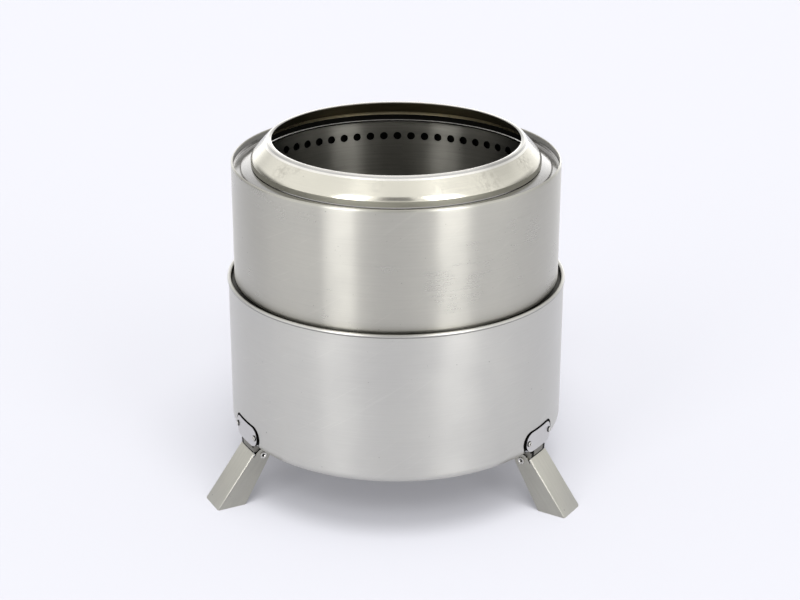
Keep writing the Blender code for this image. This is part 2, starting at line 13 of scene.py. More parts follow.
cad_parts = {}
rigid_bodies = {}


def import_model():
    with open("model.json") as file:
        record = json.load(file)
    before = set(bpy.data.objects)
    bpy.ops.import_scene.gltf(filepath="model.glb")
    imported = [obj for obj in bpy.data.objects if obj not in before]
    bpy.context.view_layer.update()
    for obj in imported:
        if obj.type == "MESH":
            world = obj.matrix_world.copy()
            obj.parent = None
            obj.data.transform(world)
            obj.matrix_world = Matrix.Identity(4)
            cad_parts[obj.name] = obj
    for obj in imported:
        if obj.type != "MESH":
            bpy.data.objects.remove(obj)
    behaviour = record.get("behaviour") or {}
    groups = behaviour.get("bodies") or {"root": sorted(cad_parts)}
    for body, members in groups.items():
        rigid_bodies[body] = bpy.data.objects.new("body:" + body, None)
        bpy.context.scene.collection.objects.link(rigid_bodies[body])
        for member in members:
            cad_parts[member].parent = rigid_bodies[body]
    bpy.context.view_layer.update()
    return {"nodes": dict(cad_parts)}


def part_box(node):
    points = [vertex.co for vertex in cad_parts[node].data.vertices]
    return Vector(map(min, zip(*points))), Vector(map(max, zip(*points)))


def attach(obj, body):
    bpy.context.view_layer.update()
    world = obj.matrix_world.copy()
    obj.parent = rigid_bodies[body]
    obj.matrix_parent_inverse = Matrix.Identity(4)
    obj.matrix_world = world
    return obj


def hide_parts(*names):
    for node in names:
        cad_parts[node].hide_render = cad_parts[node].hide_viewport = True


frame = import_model()

# Clearances, and how fine the meshes are
GAP = 0.0003
EASE = 0.0001
MERGE = 0.00001
TURN_STEPS = 240
SMALL_STEPS = 32
PLATE_STEPS = 30
HOLE_SIDES = 24
ARC_STEPS = 10
RIM_STEPS = 6
BEND_STEPS = 4
BEND_SHARE = 0.45
EDGE_ANGLE = math.radians(40)
SMOOTH_ANGLE = math.radians(32)

# Camera, fitted to the photograph's circles
CAMERA_PLACE = (0.00373, -1.62945, 0.83310)
CAMERA_PITCH = math.radians(22.045)
CAMERA_ROLL = math.radians(0.092)
CAMERA_ORBIT = math.radians(2.45)
CAMERA_LENS = 82.06
CAMERA_SENSOR = 36.0

# Legs and hinges
LEG_COUNT = 3
FIRST_LEG = math.radians(90)
LEG_SLOPE = math.radians(53.5)
LEG_TAPER = math.radians(6.4)
LEG_WIDTH = 0.0300
LEG_SHEET = 0.0015
LEG_BEND = 0.0022
LEG_BEND_STEPS = 8
LEG_EDGE = 0.0002
LEG_WEB_OFFSET = 0.0100
LEG_WEB_START = 0.0030
LEG_EYE = 0.0068
RELIEF_DEPTH = 0.0032
LEG_CUT = 0.1200
PIN_RADIUS = 0.0024
PIN_HEAD_RADIUS = 0.0033
PIN_HEAD_HEIGHT = 0.0009
PIN_DIMPLE = 0.0012
PIN_DIMPLE_DEPTH = 0.0008
PIN_DIMPLE_SLOPE = 0.0005
PIN_HEAD_BEND = 0.0003

# Sheets and bends
SHELL_WALL = 0.0010
SHELL_CORNER = 0.0090
SHELL_LIP_WIDTH = 0.0130
RIM_BEAD = 0.0018
RIM_BEAD_OUT = 0.0011
RIM_BEAD_DROP = 0.0010
RIM_BEAD_START = 200
PAN_WALL = 0.0010
PAN_CORNER = 0.0077
SEAT_SHEET = 0.0012
SEAT_BEND = 0.0025
PLATE_SHEET = 0.0020
DRUM_WALL = 0.0010
DRUM_CORNER = 0.0060
RIM_BEND = 0.0024
RIM_BEND_START = 70
COLLAR_RADIUS = 0.1160
COLLAR_BEND = 0.0020
COLLAR_HEIGHT = 0.0105
CUP_WALL = 0.0008
CUP_CORNER = 0.0060
SHOULDER_SHEET = 0.0008
RING_SHEET = 0.0010
GRATE_SHEET = 0.0015
ASH_SHEET = 0.0008

# Leg brackets and rivets
PLATE_LENGTH = 0.0460
PLATE_HEIGHT = 0.0196
PLATE_EDGE = 0.0003
PLATE_SWEEP = math.radians(45)
WINDOW_GAP = 0.0015
WINDOW_END_GAP = 0.0036
WINDOW_DEPTH = 0.0198
SLOT_GAP = 0.0018
NECK_INSET = 0.0014
NECK_SHADE = 0.0013
NOTCH_WIDTH = 0.0020
NOTCH_HEIGHT = 0.0026
EAR_SHEET = 0.0020
EAR_EYE = 0.0062
EAR_ARC = (-30, -225)
HINGE_INSET = 0.0105
RIVET_SPACING = 0.0380
RIVET_SHANK = 0.0017
RIVET_HEAD_RADIUS = 0.0029
RIVET_HEAD_HEIGHT = 0.0014
RIVET_TAIL_HEIGHT = 0.0009
RIVET_DOME = (58, 46, 34, 22, 11, 0)
RIVET_DIMPLE = 0.42 * RIVET_HEAD_RADIUS
RIVET_DIMPLE_FLOOR = 0.8 * RIVET_DIMPLE
RIVET_DIMPLE_DEPTH = 0.0009
RIVET_SHADE_CENTRE = 0.75 * RIVET_DIMPLE
RIVET_SHADE_EDGE = 0.82 * RIVET_HEAD_RADIUS

# Holes
JETS = 67
JET_RADIUS = 0.0040
JET_DROP = 0.0145
JET_PHASE = math.radians(2.1)
INLETS = 12
INLET_RADIUS = 0.0060
PAN_VENTS = 12
PAN_VENT_RADIUS = 0.0070
PAN_VENT_CIRCLE = 0.1220

# Shoulder and flame ring; turn, lean and line are in degrees
SHOULDER_TREAD = 0.0137
SHOULDER_INNER_LIP = 0.0003
SHOULDER_TREAD_RISE = 0.0049
SHOULDER_STEP_RISE = 0.0027
SHOULDER_BEND = 0.0009
SHOULDER_FLANGE = 0.0031
RING_RUN = 0.0194
RING_CORNER_RISE = 0.0060
RING_LIP_BEND = 0.0050
RING_CORNER_BEND = 0.0012
RING_GENTLE_BEND = 0.0140
RING_RIDGE = 0.0020
RING_TIGHT_TURN = 22
RING_LIP_LEAN = 20
RING_LIP_LINE = 67

# Fire grate and ash pan
GRATE_OPENING = 0.1000
GRATE_DISH = 0.0040
GRATE_DISH_GAP = 0.0020
GRATE_BEND = 0.0020
GRATE_RINGS = 2
GRATE_TWIST = math.radians(10)
GRATE_PITCH = 0.0360
GRATE_HOLE_RADIUS = 0.0090
ASH_BEND = 0.0040

# Wear on the steel: for each noise its scale per metre, detail and roughness
LINES = (1.0, 4.0, 0.6)
CLOUDS = (14.0, 5.0, 0.6)
STAINS = (60.0, 6.0, 0.7)
SPECKS = (420.0, 1.0, 0.3)
SCRATCHES = (1.0, 2.0, 0.5)
MOTTLE = (230.0, 4.0, 0.65)

# Levels of each noise between which the wear comes up, and its other values
LINE_RANGE = (0.3, 0.7)
CLOUD_RANGE = (0.35, 0.65)
STAIN_RANGE = (0.55, 0.72)
STAINED_CLOUD_RANGE = (0.5, 0.6)
SPECK_RANGE = (0.80, 0.83)
SCRATCH_RANGE = (0.66, 0.70)
MOTTLE_RANGE = (0.42, 0.62)
SPECK_SHADE = 0.55
PATCH_CORE = 0.3
SCRATCH_TURN = math.radians(35)
SCRATCH_STRETCH = (9.0, 30.0, 520.0)
BUMP_DEPTH = 0.0002

# Studio, as the metal sees it. Levels of light go by the angle from the camera, in degrees; a
# colour ramp holds levels up to 1, so they are divided by the scale first.
STUDIO_SCALE = 4.0
STUDIO_TOP = 1.12
STUDIO_TOP_EDGE = (8, 20)
STUDIO_BELT = [(-180, 2.0), (-166, 2.2), (-150, 1.6), (-137, 0.48), (-117, 0.10), (-103, 0.25), (-90, 1.00),
               (-79, 1.36), (-60, 1.66), (-51, 1.3), (-30, 1.25), (-22, 1.10), (-16, 0.92), (-8, 0.84),
               (2, 0.90), (12, 1.12), (22, 1.30), (56, 1.66), (74, 1.62), (85, 1.20), (97, 0.68),
               (111, 0.36), (127, 0.46), (148, 1.6), (158, 2.7), (168, 3.0), (180, 2.0)]
STUDIO_SOFTBOXES = [(-180, 0.0), (-50, 0.0), (-49, 2.05), (-29, 2.05), (-27, 0.0), (28, 0.0), (30, 2.05),
                    (49, 2.05), (50, 0.9), (58, 0.0)]
SOFTBOX_RIPPLE = 0.25
SOFTBOX_RISE = 2.2
SOFTBOX_RIPPLE_WIDTH = 4.2
# Heights at which a patch starts, is full, is full for the last time and ends, and the angles to
# the side between which it changes, all in degrees
SOFTBOX_HEIGHTS = (-2, 1, 50, 58)
FIGURE_SIDES = (12, 18)
FIGURE_HEIGHTS = (24, 32, 56, 62)
FIGURE_SHADE = 0.82
BACK_SIDES = (125, 145)
BACK_HEIGHTS = (18, 24, 44, 52)
BACK_SHADE = 0.3
LIGHT_COLOUR = (1.0, 0.995, 0.985, 1.0)
SEEN_COLOUR = (0.92, 0.925, 1.0, 1.0)

# Floor
FLOOR_HALF = 8.0
FLOOR_COLOUR = (0.249, 0.250, 0.268, 1.0)
FLOOR_GLOW_COLOUR = (0.93, 0.93, 1.0, 1.0)
FLOOR_GLOW = 0.205
# Power, tilt towards the camera, turn about the axis and width, in degrees
FLOOR_LIGHTS = [(3.9, 14.3, 12.0, 36.0), (1.8, 45.0, 0.0, 20.0)]

# Places read from the frame
SHELL_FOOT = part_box("base_shell")[0].z
RIM_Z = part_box("base_shell")[1].z - RIM_BEAD
SHELL_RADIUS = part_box("base_pan")[1].x + GAP + SHELL_WALL
SHELL_INSIDE = SHELL_RADIUS - SHELL_WALL
PAN_LOW, PAN_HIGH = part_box("base_pan")
SEAT_LOW, SEAT_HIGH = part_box("seat_ring")
SEAT_INNER = min(math.hypot(v.co.x, v.co.y) for v in frame["nodes"]["seat_ring"].data.vertices)
DRUM_LOW, DRUM_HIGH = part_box("drum_outer_wall")
CUP_LOW, CUP_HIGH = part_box("drum_inner_wall")
SHOULDER_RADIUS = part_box("shoulder_ring")[1].x
RING_LOW, RING_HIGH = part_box("flame_ring")
GRATE_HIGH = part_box("fire_grate")[1]
ASH_LOW, ASH_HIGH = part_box("ash_pan")
HINGE_RADIUS = SHELL_RADIUS - HINGE_INSET
HINGE_Z = (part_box("hinge_pin_1")[0].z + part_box("hinge_pin_1")[1].z) / 2
PLATE_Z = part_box("leg_bracket_1")[1].z - PLATE_HEIGHT / 2
PLATE_OUTSIDE = SHELL_INSIDE + PLATE_SHEET

# Down a leg and out from its web, as (outward, up)
LEG_DOWN = Vector((math.cos(LEG_SLOPE), -math.sin(LEG_SLOPE)))
LEG_OUT = Vector((math.sin(LEG_SLOPE), math.cos(LEG_SLOPE)))

# A bracket's neck and notches
PLATE_LOW = PLATE_Z - PLATE_HEIGHT / 2
NECK_HALF = LEG_WIDTH / 2 - LEG_SHEET - GAP
NECK_OUTSIDE = PLATE_OUTSIDE - NECK_INSET
NECK_END = HINGE_Z + LEG_OUT.y * LEG_WEB_OFFSET + LEG_DOWN.y * LEG_WEB_START + GAP
NECK_LINE = NECK_END + NECK_SHADE
NOTCH_TOP = PLATE_LOW - GAP
NOTCH_LOW = NOTCH_TOP - NOTCH_HEIGHT


def new_collection(name):
    collection = bpy.data.collections.new(name)
    bpy.context.scene.collection.children.link(collection)
    return collection


PIECES = new_collection("pieces")
CUTTERS = new_collection("cutters")


# Shapes

def arc(centre, radius, start, end, steps=ARC_STEPS):
    """Points on an arc, both ends included; angles in degrees."""
    points = []
    for i in range(steps + 1):
        angle = math.radians(start + (end - start) * i / steps)
        points.append((centre[0] + radius * math.cos(angle),
                       centre[1] + radius * math.sin(angle)))
    return points


def round_ended(half_length, half_height, height):
    """Half-circle ends of a long shape, joined on: left end upward, right end downward."""
    end = half_length - half_height
    return (arc((-end, height), half_height, -90, -270, 2 * ARC_STEPS)
            + arc((end, height), half_height, 90, -90, 2 * ARC_STEPS))


def mesh_object(name, mesh, collection):
    item = bpy.data.objects.new(name, mesh)
    collection.objects.link(item)
    return item


def settle(item):
    """Replace an object's data by its evaluated mesh, with coincident points welded."""
    bpy.context.view_layer.update()
    graph = bpy.context.evaluated_depsgraph_get()
    mesh = bpy.data.meshes.new_from_object(item.evaluated_get(graph))
    shape = bmesh.new()
    shape.from_mesh(mesh)
    bmesh.ops.remove_doubles(shape, verts=shape.verts, dist=MERGE)
    bmesh.ops.recalc_face_normals(shape, faces=shape.faces)
    shape.to_mesh(mesh)
    shape.free()
    name, world, collection = item.name, item.matrix_world.copy(), item.users_collection[0]
    bpy.data.objects.remove(item, do_unlink=True)
    placed = mesh_object(name, mesh, collection)
    placed.matrix_world = world
    return placed


def turned(name, points, sheet=0.0, steps=TURN_STEPS, angle=math.tau, collection=PIECES):
    """A profile of (radius, height) points turned about Z, and thickened inward if it is a sheet."""
    mesh = bpy.data.meshes.new(name)
    mesh.from_pydata([(r, 0.0, z) for r, z in points],
                     [(i, i + 1) for i in range(len(points) - 1)], [])
    item = mesh_object(name, mesh, collection)
    screw = item.modifiers.new("Turn", "SCREW")
    screw.angle = angle
    screw.steps = steps
    screw.render_steps = steps
    screw.use_merge_vertices = True
    screw.merge_threshold = MERGE
    if sheet:
        wall = item.modifiers.new("Sheet", "SOLIDIFY")
        wall.thickness = sheet
        wall.offset = -1.0
        wall.use_even_offset = True
    return item


def plate(name, points, thickness, collection=CUTTERS):
    """A flat plate from an outline in the XZ plane, centred on Y = 0."""
    curve = bpy.data.curves.new(name, "CURVE")
    curve.dimensions = "2D"
    curve.fill_mode = "BOTH"
    curve.extrude = thickness / 2
    spline = curve.splines.new("POLY")
    spline.points.add(len(points) - 1)
    for point, (x, y) in zip(spline.points, points):
        point.co = (x, y, 0.0, 1.0)
    spline.use_cyclic_u = True
    item = bpy.data.objects.new(name, curve)
    collection.objects.link(item)
    placed = settle(item)
    placed.data.transform(Matrix.Rotation(math.radians(90), 4, "X"))
    return placed


def drills(name, places, radius, length):
    """One cutter made of rods; each place carries +Z along its rod."""
    shape = bmesh.new()
    for place in places:
        bmesh.ops.create_cone(shape, cap_ends=True, segments=HOLE_SIDES, radius1=radius,
                              radius2=radius, depth=length, matrix=place)
    mesh = bpy.data.meshes.new(name)
    shape.to_mesh(mesh)
    shape.free()
    return mesh_object(name, mesh, CUTTERS)


def combine(item, other, operation):
    """Cut, join or intersect with another closed object."""
    change = item.modifiers.new(operation.title(), "BOOLEAN")
    change.operation = operation
    change.solver = "EXACT"
    change.object = other
    other.hide_render = True
    other.hide_viewport = False


def shade(item, material, bevel=0.0):
    """Freeze the modifiers, round the edges, shade smooth and set the material."""
    item = settle(item)
    if bevel:
        change = item.modifiers.new("Edges", "BEVEL")
        change.width = bevel
        change.segments = 2
        change.limit_method = "ANGLE"
        change.angle_limit = EDGE_ANGLE
        change.use_clamp_overlap = True
        item = settle(item)
    item.data.shade_smooth()
    item.data.set_sharp_from_angle(angle=SMOOTH_ANGLE)
    item.data.materials.clear()
    item.data.materials.append(material)
    return item


class Spot:
    """What a repaint goes by: a face's middle, distance from the axis, height and normal.

    out is how far the face looks away from the axis, from 1 to -1.
    """

    def __init__(self, face):
        self.middle = face.center
        self.r = math.hypot(face.center.x, face.center.y)
        self.z = face.center.z
        self.normal = face.normal
        self.out = (face.normal.x * face.center.x + face.normal.y * face.center.y) / max(self.r, MERGE)


def repaint(item, material, test):
    """Give another material to the faces whose spot passes a test."""
    item.data.materials.append(material)
    slot = len(item.data.materials) - 1
    for face in item.data.polygons:
        if test(Spot(face)):
            face.material_index = slot


def place_on(item, body, slot, *nodes):
    """Let a finished piece ride on its body and stand for its nodes. The slot is not used."""
    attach(item, body)
    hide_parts(*nodes)


def around(azimuth):
    return Matrix.Rotation(azimuth, 4, "Z")


def leg_azimuths():
    return [FIRST_LEG + math.tau * i / LEG_COUNT for i in range(LEG_COUNT)]


def rods_on_circle(count, radius, height, phase=0.0):
    return [around(phase + math.tau * i / count) @ Matrix.Translation((radius, 0, height))
            for i in range(count)]


# Turns +Z away from the axis
OUTWARD = Matrix.Rotation(math.radians(90), 4, "Y")


def rods_through_wall(count, radius, height, phase):
    return [rod @ OUTWARD for rod in rods_on_circle(count, radius, height, phase)]


# Materials

def add(tree, kind, **inputs):
    """A node with the given inputs: values are set and sockets are linked."""
    node = tree.nodes.new(kind)
    for key, value in inputs.items():
        name = int(key[1:]) if key[0] == "i" and key[1:].isdigit() else key.replace("_", " ")
        if isinstance(value, bpy.types.NodeSocket):
            tree.links.new(value, node.inputs[name])
        else:
            node.inputs[name].default_value = value
    return node


def maths(tree, operation, *values):
    """The result of one sum."""
    node = tree.nodes.new("ShaderNodeMath")
    node.operation = operation
    for socket, value in zip(node.inputs, values):
        if isinstance(value, bpy.types.NodeSocket):
            tree.links.new(value, socket)
        else:
            socket.default_value = value
    return node.outputs[0]


def spread(tree, value, low, high, to_low, to_high):
    """Map a range of a value onto another range, held at its ends."""
    node = add(tree, "ShaderNodeMapRange", i0=value, i1=low, i2=high, i3=to_low, i4=to_high)
    node.clamp = True
    return node.outputs[0]


def noise(tree, vector, scale, detail, roughness):
    node = add(tree, "ShaderNodeTexNoise", Vector=vector, Scale=scale, Detail=detail,
               Roughness=roughness)
    return node.outputs[0]


def turned_grain(tree, point, along, across):
    """Coordinates stretched round the axis, for lines left by spinning and polishing."""
    parts = add(tree, "ShaderNodeSeparateXYZ", Vector=point)
    azimuth = maths(tree, "ARCTAN2", parts.outputs[0], maths(tree, "MULTIPLY", parts.outputs[1], -1.0))
    flat = add(tree, "ShaderNodeCombineXYZ", X=parts.outputs[0], Y=parts.outputs[1])
    length = tree.nodes.new("ShaderNodeVectorMath")
    length.operation = "LENGTH"
    tree.links.new(flat.outputs[0], length.inputs[0])
    return add(tree, "ShaderNodeCombineXYZ", X=maths(tree, "MULTIPLY", azimuth, along),
               Y=maths(tree, "MULTIPLY", length.outputs["Value"], across),
               Z=maths(tree, "MULTIPLY", parts.outputs[2], across)).outputs[0]


def straight_grain(tree, point, along, across):
    """Coordinates stretched down the slope of a leg, for lines left by rolling."""
    turn = add(tree, "ShaderNodeVectorRotate", Vector=point, Angle=-LEG_SLOPE)
    turn.rotation_type = "Y_AXIS"
    scale = add(tree, "ShaderNodeVectorMath", i0=turn.outputs[0], i1=(along, across, across))
    scale.operation = "MULTIPLY"
    return scale.outputs[0]


def distance_from(tree, point, place):
    away = add(tree, "ShaderNodeVectorMath", i0=point, i1=place)
    away.operation = "DISTANCE"
    return away.outputs["Value"]


def steel(name, colour, roughness, anisotropy=0.0, grain=0.05, cloud=0.05, stain=(0.5, 0.46, 0.38),
          stain_share=0.0, bump=0.04, along=3.0, across=700.0, straight=False, patches=(), scratches=0.0,
          paler=None, darkened=()):
    """Brushed steel: lines round the axis, cloudy wear, stains, scratches and a few dark specks.

    paler is (low, high, factor) for painted light: the colour gets paler between two heights.
    patches are (place, reach, strength) of stained places, and the last argument is (place, reach,
    factor) of places painted darker.
    """
    material = bpy.data.materials.new(name)
    material.use_nodes = True
    tree = material.node_tree
    shader = tree.nodes["Principled BSDF"]
    shader.inputs["Metallic"].default_value = 1.0
    point = add(tree, "ShaderNodeTexCoord").outputs["Object"]
    grained = straight_grain if straight else turned_grain
    lines = noise(tree, grained(tree, point, along, across), *LINES)
    clouds = noise(tree, point, *CLOUDS)
    marks = noise(tree, point, *STAINS)
    specks = noise(tree, point, *SPECKS)

    line_shade = spread(tree, lines, *LINE_RANGE, 1.0 - grain, 1.0 + grain)
    cloud_shade = spread(tree, clouds, *CLOUD_RANGE, 1.0 - cloud, 1.0 + cloud / 2)
    speck_shade = spread(tree, specks, *SPECK_RANGE, 1.0, SPECK_SHADE)
    level = maths(tree, "MULTIPLY", maths(tree, "MULTIPLY", line_shade, cloud_shade), speck_shade)
    # Painted light: the colour gets paler between two heights
    if paler:
        height = add(tree, "ShaderNodeSeparateXYZ", Vector=point).outputs[2]
        low, high, factor = paler
        level = maths(tree, "MULTIPLY", level, spread(tree, height, low, high, 1.0, factor))
    # Painted darker near given places
    for place, reach, factor in darkened:
        away = distance_from(tree, point, place)
        level = maths(tree, "MULTIPLY", level, spread(tree, away, PATCH_CORE * reach, reach, factor, 1.0))
    if scratches:
        turn = add(tree, "ShaderNodeVectorRotate", Vector=point, Angle=SCRATCH_TURN)
        turn.rotation_type = "Y_AXIS"
        thin = add(tree, "ShaderNodeVectorMath", i0=turn.outputs[0], i1=SCRATCH_STRETCH)
        thin.operation = "MULTIPLY"
        thin_lines = noise(tree, thin.outputs[0], *SCRATCHES)
        level = maths(tree, "MULTIPLY", level,
                      spread(tree, thin_lines, *SCRATCH_RANGE, 1.0, 1.0 + scratches))
    tint = add(tree, "ShaderNodeVectorMath", i0=colour)
    tint.operation = "SCALE"
    tree.links.new(level, tint.inputs["Scale"])
    mixed = tree.nodes.new("ShaderNodeMix")
    mixed.data_type = "RGBA"
    stain_at = maths(tree, "MULTIPLY", spread(tree, marks, *STAIN_RANGE, 0.0, 1.0),
                     spread(tree, clouds, *STAINED_CLOUD_RANGE, 0.0, 1.0))
    share = maths(tree, "MULTIPLY", stain_at, stain_share)
    for place, reach, strength in patches:
        near = spread(tree, distance_from(tree, point, place), PATCH_CORE * reach, reach, 1.0, 0.0)
        mottle = spread(tree, noise(tree, point, *MOTTLE), *MOTTLE_RANGE, 0.0, 1.0)
        spot = maths(tree, "MULTIPLY", maths(tree, "MULTIPLY", near, mottle), strength)
        share = maths(tree, "MAXIMUM", share, spot)
    tree.links.new(share, mixed.inputs[0])
    tree.links.new(tint.outputs[0], mixed.inputs[6])
    mixed.inputs[7].default_value = (*stain, 1.0)
    tree.links.new(mixed.outputs[2], shader.inputs["Base Color"])

    rough = maths(tree, "ADD", spread(tree, clouds, *CLOUD_RANGE, roughness - 0.03, roughness + 0.04),
                  spread(tree, lines, *LINE_RANGE, -0.02, 0.02))
    tree.links.new(rough, shader.inputs["Roughness"])
    if bump:
        height = add(tree, "ShaderNodeBump", Strength=bump, Distance=BUMP_DEPTH, Height=lines)
        tree.links.new(height.outputs[0], shader.inputs["Normal"])
    if anisotropy:
        shader.inputs["Anisotropic"].default_value = anisotropy
        shader.inputs["Anisotropic Rotation"].default_value = 0.25
        tangent = tree.nodes.new("ShaderNodeTangent")
        tangent.direction_type = "RADIAL"
        tangent.axis = "Z"
        tree.links.new(tangent.outputs[0], shader.inputs["Tangent"])
    return material


def on_cone(degrees, drop, radius):
    """A place on the flame ring, by its angle from the front and its depth below the lip."""
    turn = math.radians(degrees)
    return (radius * math.sin(turn), -radius * math.cos(turn), RING_HIGH.z - drop)


# Stained places on the flame ring with their reach and strength, and places painted darker with their
# factor
RING_PATCHES = [(on_cone(-50, 0.009, 0.129), 0.014, 0.45), (on_cone(-43, 0.004, 0.121), 0.010, 0.40),
                (on_cone(42, 0.010, 0.129), 0.020, 0.45), (on_cone(68, 0.004, 0.123), 0.020, 0.60),
                (on_cone(84, 0.006, 0.125), 0.018, 0.50), (on_cone(20, 0.013, 0.132), 0.018, 0.20),
                (on_cone(-5, 0.006, 0.126), 0.010, 0.20)]
RING_DARKENED = [(on_cone(52, 0.002, 0.120), 0.034, 0.72), (on_cone(-100, 0.006, 0.124), 0.042, 0.48),
             (on_cone(98, 0.006, 0.124), 0.060, 0.48)]

# Colour, roughness and how far the polish stretches a reflection
DRUM_STEEL = steel("drum_steel", (0.496, 0.486, 0.440), 0.30, 1.0, grain=0.03, stain_share=0.15,
                   scratches=0.04)
BASE_STEEL = steel("base_steel", (0.540, 0.535, 0.506), 0.34, 0.80, grain=0.025, stain_share=0.08,
                   cloud=0.035, scratches=0.04)
RING_STEEL = steel("ring_steel", (0.690, 0.670, 0.590), 0.18, 0.5, grain=0.02, cloud=0.04,
                   stain=(0.36, 0.34, 0.30), stain_share=0.15, patches=RING_PATCHES, darkened=RING_DARKENED)
# Painted light on the flame ring's lip: a darker band and a bright edge
LIP_SHADE_STEEL = steel("lip_steel", (0.540, 0.533, 0.520), 0.22, 0.5, grain=0.02, darkened=RING_DARKENED)
LIP_HIGHLIGHT_STEEL = steel("edge_steel", (0.850, 0.835, 0.790), 0.22, 0.5, grain=0.04, cloud=0.08, darkened=RING_DARKENED)
STEP_STEEL = steel("step_steel", (0.465, 0.459, 0.452), 0.18, 0.5, grain=0.03)
# Painted shade: the chamber's steel is a dark copy standing for the shade inside the drum, with painted
# light making it paler towards its top
CHAMBER_SHADE_STEEL = steel("chamber_steel", (0.178, 0.174, 0.156), 0.32, 1.0, grain=0.10,
                      paler=(CUP_HIGH.z - 0.012, CUP_HIGH.z - 0.002, 1.5))
# Painted shade on the flame ring's skirt
SKIRT_SHADE_STEEL = steel("skirt_steel", (0.420, 0.410, 0.350), 0.50, 0.5)
RIM_STEEL = steel("rim_steel", (0.460, 0.455, 0.448), 0.60, 0.5)
HIDDEN_STEEL = steel("hidden_steel", (0.330, 0.322, 0.300), 0.42, 0.5)
LEG_STEEL = steel("leg_steel", (0.385, 0.378, 0.338), 0.36, grain=0.05, along=25.0, across=500.0,
                  straight=True, stain_share=0.2)
WEB_LIT_STEEL = steel("web_steel", (0.500, 0.492, 0.448), 0.48, grain=0.05, along=25.0, across=500.0,
                  straight=True, stain_share=0.2)
PLATE_STEEL = steel("plate_steel", (0.560, 0.553, 0.545), 0.36, grain=0.03)
RIVET_STEEL = steel("rivet_steel", (0.600, 0.590, 0.560), 0.24, grain=0.03, bump=0.0)
SHADE_STEEL = steel("shade_steel", (0.008, 0.008, 0.007), 0.60, grain=0.10, bump=0.0)
INSIDE_SHADE_STEEL = steel("soot_steel", (0.060, 0.057, 0.050), 0.50, 0.5, grain=0.10)
BEAD_SHADE_STEEL = steel("groove_steel", (0.300, 0.295, 0.280), 0.40, 0.5, grain=0.06)
NECK_SHADED_STEEL = steel("neck_steel", (0.215, 0.208, 0.185), 0.45, grain=0.06, bump=0.0)
# Painted shade under the flame ring, and a painted highlight along the crease inside it
RING_UNDERSIDE_SHADE_STEEL = steel("olive_steel", (0.110, 0.092, 0.048), 0.35, 0.5, grain=0.20)
CREASE_HIGHLIGHT_STEEL = steel("gold_steel", (0.560, 0.500, 0.350), 0.28, 0.5, grain=0.12)


# Base

def window_outline():
    """The opening round one bracket plate, with the slot below it for the neck."""
    half_height = PLATE_HEIGHT / 2 + WINDOW_GAP
    slot = NECK_HALF + SLOT_GAP
    low = SHELL_FOOT - SHELL_CORNER
    return ([(-slot, low), (-slot, PLATE_Z - half_height)]
            + round_ended(PLATE_LENGTH / 2 + WINDOW_END_GAP, half_height, PLATE_Z)
            + [(slot, PLATE_Z - half_height), (slot, low)])


def facing(azimuth, radius):
    """Stand an outline's plate square to the radius at an azimuth."""
    return around(azimuth) @ Matrix.Translation((radius, 0, 0)) @ Matrix.Rotation(math.radians(90), 4, "Z")


def build_shell():
    bead_x, bead_z = SHELL_RADIUS + RIM_BEAD_OUT - RIM_BEAD, RIM_Z - RIM_BEAD_DROP
    wall_angle = -math.degrees(math.acos((SHELL_RADIUS - bead_x) / RIM_BEAD))
    points = arc((bead_x, bead_z), RIM_BEAD, RIM_BEAD_START, wall_angle, 2 * ARC_STEPS)
    points.append((SHELL_RADIUS, SEAT_HIGH.z))
    points += arc((SHELL_RADIUS - SHELL_CORNER, SHELL_FOOT + SHELL_CORNER), SHELL_CORNER, 0, -90)
    points.append((SHELL_RADIUS - SHELL_CORNER - SHELL_LIP_WIDTH, SHELL_FOOT))
    shell = turned("shell_skin", points, SHELL_WALL)
    for i, azimuth in enumerate(leg_azimuths(), start=1):
        window = plate(f"window_{i}", window_outline(), WINDOW_DEPTH)
        window.matrix_world = facing(azimuth, SHELL_RADIUS)
        combine(shell, window, "DIFFERENCE")
    shell = shade(shell, BASE_STEEL)

    def inside(spot):
        return spot.r < SHELL_RADIUS - SHELL_WALL / 2 and spot.out < -0.9

    # Painted shade inside the shell: dark below the seat, darkest between the seat and the bead
    repaint(shell, INSIDE_SHADE_STEEL, lambda spot: spot.z < SEAT_HIGH.z and inside(spot))
    repaint(shell, SHADE_STEEL, lambda spot: SEAT_HIGH.z < spot.z < bead_z and inside(spot))
    # Painted shade: a dark line under the rim bead
    repaint(shell, BEAD_SHADE_STEEL, lambda spot: spot.z > bead_z - RIM_BEAD and spot.normal.z < 0.1
            and spot.r > SHELL_RADIUS - MERGE)
    repaint(shell, SHADE_STEEL, lambda spot: SHELL_FOOT + SHELL_CORNER < spot.z < RIM_Z / 2
            and abs(spot.out) < 0.5)
    place_on(shell, "base", "satin_steel", "base_shell")


def build_pan():
    low, high = PAN_LOW.z, PAN_HIGH.z
    radius = PAN_HIGH.x
    points = [(radius, high)]
    points += arc((radius - PAN_CORNER, low + PAN_CORNER), PAN_CORNER, 0, -90)
    points.append((0.0, low))
    pan = turned("pan_skin", points, PAN_WALL)
    combine(pan, drills("pan_vents", rods_on_circle(PAN_VENTS, PAN_VENT_CIRCLE, low),
                        PAN_VENT_RADIUS, 8 * PAN_WALL), "DIFFERENCE")
    pan = shade(pan, HIDDEN_STEEL)
    repaint(pan, SHADE_STEEL, lambda spot: spot.r > radius - PAN_CORNER / 2 and spot.out > 0)
    place_on(pan, "base", "inner_steel", "base_pan")


def build_seat():
    radius, low, top = SEAT_HIGH.x, SEAT_LOW.z, SEAT_HIGH.z
    points = [(SEAT_INNER, top)] + arc((radius - SEAT_BEND, top - SEAT_BEND), SEAT_BEND, 90, 0)
    points.append((radius, low))
    seat = turned("seat_skin", points, SEAT_SHEET)
    # Painted shade: the seat ring is dark, as it lies in the shaded gap under the rim
    place_on(shade(seat, INSIDE_SHADE_STEEL), "base", "inner_steel", "seat_ring")


